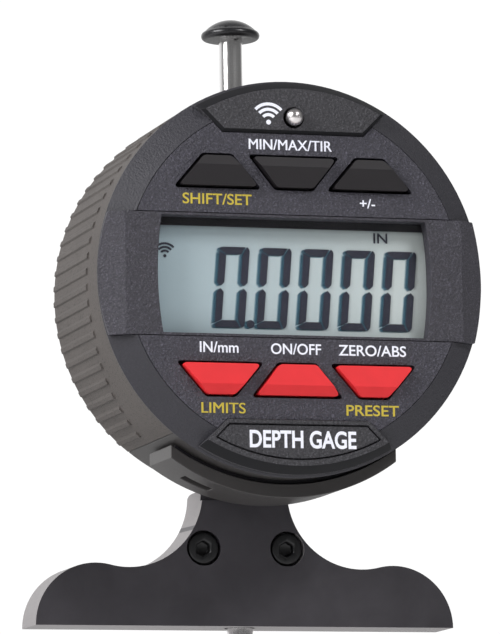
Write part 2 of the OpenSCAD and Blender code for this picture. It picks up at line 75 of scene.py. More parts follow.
class Value:
    """A number socket that takes part in Python arithmetic."""

    def __init__(self, graph: "Graph", socket: bpy.types.NodeSocket) -> None:
        """Keeps the graph and the output socket it wraps."""
        self.graph = graph
        self.socket = socket

    def _math(self, operation: str, first: Any, second: Any) -> "Value":
        """Adds one Math node.

        Args:
            operation: The Math node's operation.
            first: A number or Value for the first input.
            second: A number or Value for the second input.

        Returns:
            The node's result.
        """
        node = self.graph.node(
            "ShaderNodeMath", {"operation": operation}, {0: first, 1: second}
        )
        return Value(self.graph, node.outputs[0])

    def __add__(self, other: Any) -> "Value":
        """Sum."""
        return self._math("ADD", self, other)

    def __radd__(self, other: Any) -> "Value":
        """Sum with the number first."""
        return self._math("ADD", other, self)

    def __sub__(self, other: Any) -> "Value":
        """Difference."""
        return self._math("SUBTRACT", self, other)

    def __rsub__(self, other: Any) -> "Value":
        """Difference with the number first."""
        return self._math("SUBTRACT", other, self)

    def __mul__(self, other: Any) -> "Value":
        """Product."""
        return self._math("MULTIPLY", self, other)

    def __rmul__(self, other: Any) -> "Value":
        """Product with the number first."""
        return self._math("MULTIPLY", other, self)

    def between(self, low: float, high: float) -> "Value":
        """Maps the span from low to high onto 0 to 1, held at both ends."""
        node = self.graph.node(
            "ShaderNodeMapRange",
            {"clamp": True},
            {"Value": self, "From Min": low, "From Max": high},
        )
        return Value(self.graph, node.outputs[0])


class Graph:
    """The node tree of one material."""

    def __init__(self, name: str) -> None:
        """Makes a material of that name with an empty tree."""
        self.material = bpy.data.materials.new(name)
        self.material.use_nodes = True
        self.tree = self.material.node_tree
        self.tree.nodes.clear()

    def node(
        self, kind: str, settings: dict[str, Any], inputs: dict[Any, Any]
    ) -> bpy.types.Node:
        """Adds a node, sets its settings first and then its sockets.

        Args:
            kind: The node's type.
            settings: Attributes of the node; "stops" sets a colour ramp.
            inputs: Socket name or index to a number, colour, Value or output socket.

        Returns:
            The new node.
        """
        made = self.tree.nodes.new(kind)
        for key, value in settings.items():
            if key == "stops":
                ramp = made.color_ramp
                while len(ramp.elements) < len(value):
                    ramp.elements.new(0.5)
                for element, (place, colour) in zip(ramp.elements, value):
                    element.position = place
                    element.color = (*colour, 1.0)
            else:
                setattr(made, key, value)
        for key, value in inputs.items():
            if isinstance(value, Value):
                self.tree.links.new(value.socket, made.inputs[key])
            elif isinstance(value, bpy.types.NodeSocket):
                self.tree.links.new(value, made.inputs[key])
            else:
                made.inputs[key].default_value = value
        return made

    def place(
        self, scale: tuple[float, float, float] = (1.0, 1.0, 1.0)
    ) -> bpy.types.NodeSocket:
        """Object coordinates in millimetres, stretched by scale."""
        source = self.node("ShaderNodeTexCoord", {}, {})
        mapped = self.node(
            "ShaderNodeMapping",
            {},
            {"Vector": source.outputs["Object"], "Scale": [s / MM for s in scale]},
        )
        return mapped.outputs["Vector"]

    def noise(
        self,
        place: bpy.types.NodeSocket,
        per_mm: float,
        detail: float = 3.0,
        rough: float = 0.55,
        warp: float = 0.0,
    ) -> Value:
        """Soft noise from 0 to 1 with per_mm cells to the millimetre."""
        made = self.node(
            "ShaderNodeTexNoise",
            {},
            {
                "Vector": place,
                "Scale": per_mm,
                "Detail": detail,
                "Roughness": rough,
                "Distortion": warp,
            },
        )
        return Value(self, made.outputs["Fac"])

    def cells(self, place: bpy.types.NodeSocket, per_mm: float) -> Value:
        """Distance to the nearest of scattered points, per_mm to the millimetre."""
        made = self.node(
            "ShaderNodeTexVoronoi",
            {"feature": "SMOOTH_F1"},
            {"Vector": place, "Scale": per_mm, "Smoothness": 0.7},
        )
        return Value(self, made.outputs["Distance"])

    def blend(self, share: Any, first: Any, second: Any) -> bpy.types.NodeSocket:
        """Mixes two colours.

        Args:
            share: 0 for the first colour, 1 for the second.
            first: A colour or a colour socket.
            second: A colour or a colour socket.

        Returns:
            The mixed colour's socket.
        """
        made = self.node("ShaderNodeMix", {"data_type": "RGBA"}, {0: share})
        for index, colour in ((6, first), (7, second)):
            if isinstance(colour, bpy.types.NodeSocket):
                self.tree.links.new(colour, made.inputs[index])
            else:
                made.inputs[index].default_value = (*colour, 1.0)
        return made.outputs[2]

    def bump(self, height: Value, depth_mm: float) -> bpy.types.NodeSocket:
        """A normal raised by height, full height being depth_mm."""
        made = self.node(
            "ShaderNodeBump",
            {},
            {"Height": height, "Distance": depth_mm * MM, "Strength": 1.0},
        )
        return made.outputs["Normal"]

    def surface(self, inputs: dict[str, Any]) -> bpy.types.Material:
        """Ends the tree in a Principled shader with these inputs."""
        shader = self.node("ShaderNodeBsdfPrincipled", {}, inputs)
        output = self.node("ShaderNodeOutputMaterial", {}, {})
        self.tree.links.new(shader.outputs[0], output.inputs["Surface"])
        return self.material


def shade(colour: tuple[float, float, float], gain: float) -> tuple[float, float, float]:
    """A colour made lighter or darker by gain."""
    return tuple(min(1.0, c * gain) for c in colour)


# ---------------------------------------------------------------- finishes


@dataclass(frozen=True)
class GrainedPlastic:
    """Moulded plastic with a leather-like grain, with painted highlights on the grain's
    crests.
    """

    name: str
    colour: tuple[float, float, float]
    roughness: float = 0.55
    grain_per_mm: float = 2.2
    depth_mm: float = 0.05
    painted_glint: float = 0.35
    specular: float = 0.4
    pits: float = 0.0

    def material(self) -> bpy.types.Material:
        """Builds the material."""
        graph = Graph(self.name)
        place = graph.place()
        pebble = graph.cells(place, self.grain_per_mm)
        crease = graph.noise(place, self.grain_per_mm * 1.7, 4.0, 0.6, 0.6)
        broad = graph.noise(place, 0.12, 2.0)
        height = pebble * 0.6 + crease * 0.7
        # Painted highlight: the grain's crests are lightened towards 3.2 times the colour,
        # standing in for glints off the bumps.
        light = crease.between(0.52, 0.78) * self.painted_glint
        base = graph.blend(broad, shade(self.colour, 0.85), shade(self.colour, 1.15))
        pit = graph.noise(place, 3.6, 2.0, 0.4).between(0.40, 0.32) * self.pits
        spotted = graph.blend(pit, base, shade(self.colour, 0.35))
        return graph.surface(
            {
                "Base Color": graph.blend(light, spotted, shade(self.colour, 3.2)),
                "Roughness": self.roughness + 0.18 * (crease - 0.5),
                "Specular IOR Level": self.specular,
                "Normal": graph.bump(height, self.depth_mm),
            }
        )


@dataclass(frozen=True)
class SmoothPlastic:
    """Plain moulded plastic with a faint texture from the mould."""

    name: str
    colour: tuple[float, float, float]
    roughness: float = 0.4
    specular: float = 0.45
    depth_mm: float = 0.006
    drift: float = 0.12

    def material(self) -> bpy.types.Material:
        """Builds the material."""
        graph = Graph(self.name)
        place = graph.place()
        fine = graph.noise(place, 5.0, 3.0)
        broad = graph.noise(place, 0.25, 2.0)
        return graph.surface(
            {
                "Base Color": graph.blend(
                    broad,
                    shade(self.colour, 1.0 - self.drift),
                    shade(self.colour, 1.0 + self.drift),
                ),
                "Roughness": self.roughness + 0.12 * (fine - 0.5),
                "Specular IOR Level": self.specular,
                "Normal": graph.bump(fine, self.depth_mm),
            }
        )


@dataclass(frozen=True)
class Steel:
    """Ground or polished metal, with its lines along one axis."""

    name: str
    colour: tuple[float, float, float]
    roughness: float = 0.25
    stretch: tuple[float, float, float] = (1.0, 1.0, 0.05)
    lines_per_mm: float = 14.0
    depth_mm: float = 0.003
    metallic: float = 1.0

    def material(self) -> bpy.types.Material:
        """Builds the material."""
        graph = Graph(self.name)
        lines = graph.noise(graph.place(self.stretch), self.lines_per_mm, 3.0, 0.65)
        stain = graph.noise(graph.place(), 0.35, 3.0)
        return graph.surface(
            {
                "Base Color": graph.blend(
                    stain * 0.6 + lines * 0.4,
                    shade(self.colour, 0.85),
                    shade(self.colour, 1.1),
                ),
                "Metallic": self.metallic,
                "Roughness": self.roughness + 0.16 * (lines - 0.5),
                "Normal": graph.bump(lines, self.depth_mm),
            }
        )


@dataclass(frozen=True)
class BlackOxide:
    """Blackened steel: dark and satin, a little mottled."""

    name: str
    colour: tuple[float, float, float]
    roughness: float = 0.42
    mottle: float = 0.5

    def material(self) -> bpy.types.Material:
        """Builds the material."""
        graph = Graph(self.name)
        place = graph.place()
        cloud = graph.noise(place, 0.16, 5.0, 0.6, 0.4)
        fine = graph.noise(place, 7.0, 3.0)
        lines = graph.noise(graph.place((0.06, 1.0, 1.0)), 10.0, 2.0)
        tone = cloud.between(0.3, 0.7) * self.mottle
        return graph.surface(
            {
                "Base Color": graph.blend(tone, self.colour, shade(self.colour, 1.7)),
                "Metallic": 0.35,
                "Roughness": self.roughness + 0.15 * (fine - 0.5) + 0.1 * (cloud - 0.5),
                "Normal": graph.bump(fine * 0.6 + lines * 0.4, 0.006),
            }
        )


@dataclass(frozen=True)
class DisplayFace:
    """The pale reflector behind the display, cooler at its left end, with painted shade
    darkening its top edge.
    """

    name: str
    left: tuple[float, float, float]
    right: tuple[float, float, float]
    half_width_mm: float = 20.0
    top_mm: float = 55.1

    def material(self) -> bpy.types.Material:
        """Builds the material."""
        graph = Graph(self.name)
        place = graph.place()
        parts = graph.node("ShaderNodeSeparateXYZ", {}, {0: place})
        across = Value(graph, parts.outputs[0]).between(
            -self.half_width_mm, self.half_width_mm
        )
        # Painted shade: 0 to 1 over the reflector's top 0.9 mm, where the window's upper
        # wall shades it.
        painted_top_shade = Value(graph, parts.outputs[2]).between(self.top_mm - 0.9, self.top_mm)
        speck = graph.noise(place, 9.0, 2.0)
        base = graph.blend(across, self.left, self.right)
        lit = graph.blend(speck.between(0.3, 0.7) * 0.12, base, shade(self.right, 1.25))
        return graph.surface(
            {
                # The painted shade darkens the top edge towards near-black.
                "Base Color": graph.blend(
                    painted_top_shade * painted_top_shade * 0.75, lit, shade(self.left, 0.12)
                ),
                "Roughness": 0.5 + 0.1 * (speck - 0.5),
                "Specular IOR Level": 0.3,
                "Normal": graph.bump(speck, 0.002),
            }
        )


@dataclass(frozen=True)
class Ink:
    """Printed or filled legend ink; a glow above zero paints light into it as emission."""

    name: str
    colour: tuple[float, float, float]
    roughness: float = 0.45
    alpha: float = 1.0
    glow: float = 0.0

    def material(self) -> bpy.types.Material:
        """Builds the material."""
        graph = Graph(self.name)
        place = graph.place()
        grain = graph.noise(place, 6.0, 3.0)
        return graph.surface(
            {
                "Base Color": graph.blend(
                    grain.between(0.35, 0.7), shade(self.colour, 0.86), self.colour
                ),
                "Roughness": self.roughness + 0.1 * (grain - 0.5),
                "Alpha": self.alpha,
                # Painted light: emission of strength glow makes the ink shine by itself,
                # though it is no lamp.
                "Emission Color": (*self.colour, 1.0),
                "Emission Strength": self.glow,
                "Normal": graph.bump(grain, 0.004),
            }
        )


@dataclass(frozen=True)
class ClearWindow:
    """The clear sheet over the display."""

    name: str
    alpha: float = 0.05

    def material(self) -> bpy.types.Material:
        """Builds the material."""
        graph = Graph(self.name)
        haze = graph.noise(graph.place(), 0.2, 2.0)
        return graph.surface(
            {
                "Base Color": graph.blend(haze, (0.10, 0.11, 0.12), (0.16, 0.16, 0.17)),
                "Roughness": 0.04 + 0.05 * haze,
                "Alpha": self.alpha,
                "Specular IOR Level": 0.6,
            }
        )


@dataclass(frozen=True)
class CircuitBoard:
    """Green solder mask with copper tracks just showing."""

    name: str

    def material(self) -> bpy.types.Material:
        """Builds the material."""
        graph = Graph(self.name)
        place = graph.place()
        tracks = graph.node(
            "ShaderNodeTexBrick",
            {"offset": 0.5},
            {"Vector": place, "Scale": 0.6, "Mortar Size": 0.06},
        )
        mask = Value(graph, tracks.outputs["Fac"])
        fine = graph.noise(place, 3.0, 2.0)
        return graph.surface(
            {
                "Base Color": graph.blend(mask, (0.01, 0.1, 0.035), (0.05, 0.26, 0.09)),
                "Roughness": 0.3 + 0.1 * (fine - 0.5),
                "Normal": graph.bump(mask, 0.03),
            }
        )


class Finishes:
    """Every material of the instrument, each made once."""

    # The sixth number of a grained finish is its painted highlight on the grain's crests.
    panel = GrainedPlastic("panel_plastic", (0.040, 0.038, 0.050), 0.5, 2.7, 0.28, 1.2)
    bezel = GrainedPlastic("bezel_plastic", (0.026, 0.025, 0.032), 0.5, 3.2, 0.1, 0.35)
    waist = GrainedPlastic("waist_plastic", (0.038, 0.036, 0.046), 0.5, 2.7, 0.28, 1.2)
    badge = GrainedPlastic("badge_plastic", (0.032, 0.031, 0.036), 0.5, 2.3, 0.28, 1.2)
    bevel = SmoothPlastic("badge_bevel", (0.010, 0.010, 0.012), 0.6, 0.15)
    grip = GrainedPlastic(
        "grip_plastic", (0.076, 0.067, 0.063), 0.65, 3.4, 0.05, 0.2, 0.3, 0.9
    )
    housing = SmoothPlastic("housing_plastic", (0.034, 0.031, 0.031), 0.5)
    door = SmoothPlastic("door_plastic", (0.040, 0.037, 0.037), 0.42)
    case = GrainedPlastic("case_plastic", (0.036, 0.036, 0.038), 0.55, 2.6, 0.04, 0.2)
    black_key = SmoothPlastic("black_key", (0.014, 0.012, 0.014), 0.42, 0.4, 0.004)
    red_key = SmoothPlastic("red_key", (0.72, 0.024, 0.030), 0.45, 0.28, 0.004)
    oxide = BlackOxide("black_steel", (0.040, 0.037, 0.043))
    screw = BlackOxide("screw_black", (0.012, 0.012, 0.013), 0.34, 0.3)
    cap = BlackOxide("cap_black", (0.020, 0.020, 0.022), 0.28, 0.3)
    ground = Steel(
        "ground_edge", (0.27, 0.255, 0.26), 0.5, (1.0, 0.04, 1.0), 9.0, 0.003, 0.3
    )
    polished = Steel("polished_steel", (0.80, 0.79, 0.79), 0.2, (1.0, 1.0, 0.03), 12.0)
    satin = Steel("satin_steel", (0.60, 0.60, 0.61), 0.32)
    cover = Steel("cover_aluminium", (0.58, 0.59, 0.61), 0.38, (0.05, 1.0, 1.0))
    bronze = Steel("bushing_bronze", (0.55, 0.36, 0.16), 0.35)
    gold = Steel("gold_plate", (0.85, 0.62, 0.25), 0.25)
    chrome = Steel("chrome_ball", (0.78, 0.75, 0.75), 0.3, (1.0, 1.0, 1.0), 4.0, 0.002)
    rubber = SmoothPlastic("soft_rubber", (0.03, 0.03, 0.03), 0.75, 0.2, 0.02)
    mat = SmoothPlastic("mat_rubber", (0.22, 0.22, 0.23), 0.7, 0.25, 0.02)
    chip = SmoothPlastic("chip_black", (0.018, 0.018, 0.02), 0.5, 0.3, 0.01)
    carrier = SmoothPlastic("carrier_plastic", (0.55, 0.50, 0.36), 0.5)
    holder = SmoothPlastic("holder_plastic", (0.75, 0.75, 0.74), 0.5)
    # Near-black sheets of painted shade: along the window's upper edge and in the battery
    # door's gap.
    shadow = SmoothPlastic("window_mask", (0.010, 0.009, 0.012), 0.6, 0.2)
    board = CircuitBoard("circuit_green")
    lcd = DisplayFace("lcd_face", (0.40, 0.52, 0.58), (0.62, 0.68, 0.67))
    window = ClearWindow("clear_window")
    segment = Ink("segment_ink", (0.014, 0.015, 0.035), 0.4)
    # Painted shadow: teal, mostly clear copies of the segments stand in for their soft
    # shadow on the reflector.
    halo = Ink("painted_segment_shadow", (0.08, 0.30, 0.44), 0.6, 0.17)
    # The white and yellow legends glow a little: painted light that brightens the print.
    white = Ink("legend_white", (0.80, 0.81, 0.90), 0.5, 1.0, 0.15)
    yellow = Ink("legend_yellow", (0.55, 0.43, 0.045), 0.5, 1.0, 0.05)

    _made: dict[str, bpy.types.Material] = {}

    @classmethod
    def get(cls, finish: Any) -> bpy.types.Material:
        """The material of a finish, built at its first use."""
        if finish.name not in cls._made:
            cls._made[finish.name] = finish.material()
        return cls._made[finish.name]


# ---------------------------------------------------------------- workshop


class Bench:
    """Modelling steps that the sub-assemblies share."""

    @staticmethod
    def clear() -> None:
        """Leaves nothing selected and no object being edited."""
        if bpy.context.object and bpy.context.object.mode != "OBJECT":
            bpy.ops.object.mode_set(mode="OBJECT")
        bpy.ops.object.select_all(action="DESELECT")

    @staticmethod
    def pick(obj: bpy.types.Object) -> None:
        """Selects one object alone and makes it active."""
        Bench.clear()
        obj.hide_set(False)
        obj.select_set(True)
        bpy.context.view_layer.objects.active = obj

    @staticmethod
    def choose_faces(obj: bpy.types.Object, test: Callable[[Any], bool]) -> None:
        """Goes into edit mode with just the faces that pass the test selected."""
        Bench.pick(obj)
        bpy.ops.object.mode_set(mode="EDIT")
        bpy.ops.mesh.select_mode(type="FACE")
        bpy.ops.mesh.select_all(action="DESELECT")
        bpy.ops.object.mode_set(mode="OBJECT")
        for face in obj.data.polygons:
            face.select = test(face)
        bpy.ops.object.mode_set(mode="EDIT")

    @staticmethod
    def bevel_edges(
        obj: bpy.types.Object,
        test: Callable[[Vector, Vector], bool],
        width_mm: float,
        segments: int = 1,
        slot: Optional[int] = None,
        measure: str = "OFFSET",
    ) -> None:
        """Bevels the edges that pass a test on their middle and direction.

        Args:
            obj: The piece.
            test: Takes an edge's middle and its unit direction.
            width_mm: Width of the bevel.
            segments: Steps in the bevel.
            slot: Material slot for the new faces, or None to keep their own.
            measure: What the width is; "WIDTH" cuts a sharp corner back further.
        """
        Bench.pick(obj)
        bpy.ops.object.mode_set(mode="EDIT")
        bpy.ops.mesh.select_mode(type="EDGE")
        bpy.ops.mesh.select_all(action="DESELECT")
        bpy.ops.object.mode_set(mode="OBJECT")
        places = obj.data.vertices
        for edge in obj.data.edges:
            first, second = (places[index].co for index in edge.vertices)
            edge.select = test((first + second) / 2, (second - first).normalized())
        bpy.ops.object.mode_set(mode="EDIT")
        bpy.ops.mesh.bevel(
            offset=width_mm * MM,
            offset_type=measure,
            segments=segments,
            affect="EDGES",
        )
        if slot is not None:
            obj.active_material_index = slot
            bpy.ops.mesh.select_mode(type="FACE")
            bpy.ops.object.material_slot_assign()
        bpy.ops.object.mode_set(mode="OBJECT")

    @staticmethod
    def modify(obj: bpy.types.Object, kind: str, settings: dict[str, Any]) -> None:
        """Adds a modifier with these settings and applies it."""
        Bench.pick(obj)
        bpy.ops.object.modifier_add(type=kind)
        added = obj.modifiers[-1]
        for key, value in settings.items():
            setattr(added, key, value)
        bpy.ops.object.modifier_apply(modifier=added.name)

    @staticmethod
    def round_edges(obj: bpy.types.Object, width_mm: float, segments: int = 2) -> None:
        """Rounds every sharp edge."""
        Bench.modify(
            obj,
            "BEVEL",
            {
                "width": width_mm * MM,
                "segments": segments,
                "limit_method": "ANGLE",
                "angle_limit": math.radians(SHARP_DEGREES),
            },
        )

    @staticmethod
    def smooth(obj: bpy.types.Object, degrees: float = SMOOTH_DEGREES) -> None:
        """Shades smooth up to that angle."""
        Bench.pick(obj)
        bpy.ops.object.shade_smooth_by_angle(angle=math.radians(degrees))

    @staticmethod
    def settle(obj: bpy.types.Object) -> None:
        """Moves the object's place and turn into its mesh."""
        Bench.pick(obj)
        bpy.ops.object.transform_apply(location=True, rotation=True, scale=True)

    @staticmethod
    def dress(obj: bpy.types.Object, finish: Any) -> None:
        """Gives the object one finish."""
        obj.data.materials.clear()
        obj.data.materials.append(Finishes.get(finish))

    @staticmethod
    def outline(
        name: str, points: list[tuple[float, float]], thick_mm: float
    ) -> bpy.types.Object:
        """A flat plate from an outline.

        Args:
            name: The piece's name.
            points: The outline in millimetres, anticlockwise, x right and y up.
            thick_mm: The plate's thickness, towards +z.

        Returns:
            The plate, lying in the xy plane.
        """
        Bench.clear()
        bpy.ops.mesh.primitive_circle_add(
            vertices=len(points), radius=MM, fill_type="NGON"
        )
        plate = bpy.context.object
        plate.name = name
        for vertex, (x, y) in zip(plate.data.vertices, points):
            vertex.co = (x * MM, y * MM, 0.0)
        bpy.ops.object.mode_set(mode="EDIT")
        bpy.ops.mesh.select_all(action="SELECT")
        bpy.ops.mesh.extrude_region_move(
            TRANSFORM_OT_translate={"value": (0, 0, thick_mm * MM)}
        )
        bpy.ops.mesh.select_all(action="SELECT")
        bpy.ops.mesh.normals_make_consistent(inside=False)
        bpy.ops.object.mode_set(mode="OBJECT")
        return plate

    @staticmethod
    def join(name: str, parts: list[bpy.types.Object]) -> bpy.types.Object:
        """Joins pieces into one object of that name."""
        Bench.clear()
        for part in parts:
            part.select_set(True)
        bpy.context.view_layer.objects.active = parts[0]
        bpy.ops.object.join()
        parts[0].name = name
        return parts[0]

    @staticmethod
    def copy(source: bpy.types.Object, name: str) -> bpy.types.Object:
        """A copy of an object with its own mesh."""
        Bench.pick(source)
        bpy.ops.object.duplicate(linked=False)
        made = bpy.context.object
        made.name = name
        for key in list(made.keys()):
            del made[key]
        return made


@dataclass
class Face:
    """Where the instrument's face lies: turns its own x, y and depth into a place."""

    centre_z: float
    front_y: float

    @classmethod
    def measured(cls) -> "Face":
        """Reads the face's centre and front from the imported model."""
        low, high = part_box("bezel")
        return cls((low.z + high.z) / 2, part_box("upper_panel")[0].y)

    def at(self, x_mm: float, y_mm: float, out_mm: float = 0.0) -> Vector:
        """A place on the face, out_mm in front of it."""
        return Vector(
            (x_mm * MM, self.front_y - out_mm * MM, self.centre_z + y_mm * MM)
        )

    def stand(
        self, obj: bpy.types.Object, x_mm: float, y_mm: float, out_mm: float
    ) -> None:
        """Turns a piece drawn flat to face forward, puts it in place and settles it."""
        obj.rotation_euler = (math.radians(90), 0, 0)
        obj.location = self.at(x_mm, y_mm, out_mm)
        Bench.settle(obj)


class Moulding:
    """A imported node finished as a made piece: merged, its edges rounded, and dressed."""

    @staticmethod
    def finish(
        node: str,
        finish: Any,
        edge_mm: float = 0.0,
        segments: int = 2,
        shape: Optional[Callable[[bpy.types.Object], None]] = None,
    ) -> bpy.types.Object:
        """Finishes one node.

        Args:
            node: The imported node.
            finish: Its finish.
            edge_mm: Radius put on its sharp edges, or 0 for none.
            segments: Steps in each rounded edge.
            shape: Further shaping, done before the edges are rounded.

        Returns:
            The finished piece, which stands for the node.
        """
        piece = Bench.copy(frame["nodes"][node], f"{node}_finished")
        bpy.ops.object.mode_set(mode="EDIT")
        bpy.ops.mesh.select_all(action="SELECT")
        bpy.ops.mesh.remove_doubles(threshold=MERGE_MM * MM)
        bpy.ops.mesh.dissolve_limited(angle_limit=math.radians(FLAT_DEGREES))
        bpy.ops.object.mode_set(mode="OBJECT")
        Bench.dress(piece, finish)
        if shape:
            shape(piece)
        if edge_mm:
            Bench.round_edges(piece, edge_mm, segments)
        Bench.smooth(piece)
        if edge_mm:
            Bench.modify(piece, "WEIGHTED_NORMAL", {"keep_sharp": True})
        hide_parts(node)
        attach(piece, NODE_BODY[node])
        log.info("%s: %d faces", piece.name, len(piece.data.polygons))
        return piece


def hold(obj: bpy.types.Object, body: str, finish: Any) -> bpy.types.Object:
    """Dresses a new piece, reports it and lets it ride on its body."""
    Bench.dress(obj, finish)
    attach(obj, body)
    log.info("%s: %d faces", obj.name, len(obj.data.polygons))
    return obj


# ---------------------------------------------------------------- base


@dataclass
class Base:
    """The anvil-shaped base, its clamp and the two socket screws."""

    edge_mm: float = 0.25
    face_depth_mm: float = 0.1
    bore_reach_mm: float = 7.9
    bore_foot_mm: float = 8.0
    bore_top_mm: float = 15.0
    head_r_mm: float = 2.3
    head_h_mm: float = 2.0
    head_edge_mm: float = 0.28
    socket_r_mm: float = 1.15
    socket_deep_mm: float = 1.2
    shank_r_mm: float = 1.0
    pitch_mm: float = 12.7

    def build(self) -> None:
        """Builds and dresses the whole base."""
        self.plate()
        Moulding.finish("stem_clamp", Finishes.satin, 0.15)
        self.screws()

    def plate(self) -> None:
        """Finishes the plate: blackened faces, ground edges."""
        piece = Moulding.finish("base_plate", Finishes.oxide, self.edge_mm, 3)
        piece.data.materials.append(Finishes.get(Finishes.ground))
        low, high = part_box("base_plate")
        for face in piece.data.polygons:
            middle = face.center
            outside = (
                abs(face.normal.y) < 0.35
                and low.y + self.face_depth_mm * MM < middle.y
                and middle.y < high.y - self.face_depth_mm * MM
            )
            bored = (
                abs(middle.x) < self.bore_reach_mm * MM
                and self.bore_foot_mm * MM < middle.z < self.bore_top_mm * MM
            )
            face.material_index = 1 if outside and not bored else 0

    def screws(self) -> None:
        """Models one socket screw's head and copies it across."""
        low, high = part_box("clamp_screws")
        Bench.clear()
        bpy.ops.mesh.primitive_cylinder_add(
            vertices=64, radius=self.head_r_mm * MM, depth=self.head_h_mm * MM
        )
        head = bpy.context.object
        head.name = "clamp_screw_left"
        Bench.clear()
        bpy.ops.mesh.primitive_cylinder_add(
            vertices=6,
            radius=self.socket_r_mm * MM,
            depth=2 * self.socket_deep_mm * MM,
            location=(0, 0, self.head_h_mm / 2 * MM),
        )
        cutter = bpy.context.object
        Bench.modify(
            head, "BOOLEAN", {"operation": "DIFFERENCE", "object": cutter}
        )
        bpy.data.objects.remove(cutter)
        Bench.round_edges(head, self.head_edge_mm, 3)
        Bench.clear()
        bpy.ops.mesh.primitive_cylinder_add(
            vertices=32,
            radius=self.shank_r_mm * MM,
            depth=high.y - low.y - self.head_h_mm * MM,
            location=(0, 0, -(high.y - low.y) / 2),
        )
        shank = bpy.context.object
        head = Bench.join("clamp_screw_left", [head, shank])
        Bench.smooth(head)
        head.rotation_euler = (math.radians(90), 0, 0)
        head.location = (
            -self.pitch_mm / 2 * MM,
            low.y + self.head_h_mm / 2 * MM,
            (low.z + high.z) / 2,
        )
        Bench.settle(head)
        other = Bench.copy(head, "clamp_screw_right")
        other.location.x = self.pitch_mm * MM
        Bench.settle(other)
        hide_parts("clamp_screws")
        for screw in (head, other):
            hold(screw, "base", Finishes.screw)


# ---------------------------------------------------------------- spindle and case


@dataclass
class SpindleTrain:
    """The spindle with its cap and slider, and the fixed parts it runs in."""

    moving: dict[str, tuple[Any, float]] = field(
        default_factory=lambda: {
            "spindle": (Finishes.polished, 0.12),
            "lift_cap": (Finishes.cap, 0.0),
            "contact_point": (Finishes.polished, 0.05),
            "slider_carrier": (Finishes.carrier, 0.2),
            "slider_strip": (Finishes.gold, 0.03),
            "carrier_screw": (Finishes.satin, 0.05),
        }
    )
    fixed: dict[str, tuple[Any, float]] = field(
        default_factory=lambda: {
            "stem": (Finishes.satin, 0.1),
            "lower_bushing": (Finishes.bronze, 0.05),
            "rear_case": (Finishes.case, 0.3),
            "back_cover": (Finishes.cover, 0.25),
            "cover_screws": (Finishes.satin, 0.08),
            "top_bushing": (Finishes.satin, 0.25),
            "stop_buffer": (Finishes.rubber, 0.1),
            "guide_rod": (Finishes.polished, 0.05),
            "spring_post": (Finishes.satin, 0.05),
            "stator_board": (Finishes.board, 0.03),
            "sensor_chip": (Finishes.chip, 0.08),
            "hub_connector": (Finishes.chip, 0.1),
            "hub_nut": (Finishes.satin, 0.15),
        }
    )

    def build(self) -> None:
        """Finishes every part of the train and the spring."""
        for node, (finish, edge) in {**self.moving, **self.fixed}.items():
            Moulding.finish(node, finish, edge)
        spring = Moulding.finish("return_spring", Finishes.satin)
        Bench.smooth(spring, 60)


# ---------------------------------------------------------------- head


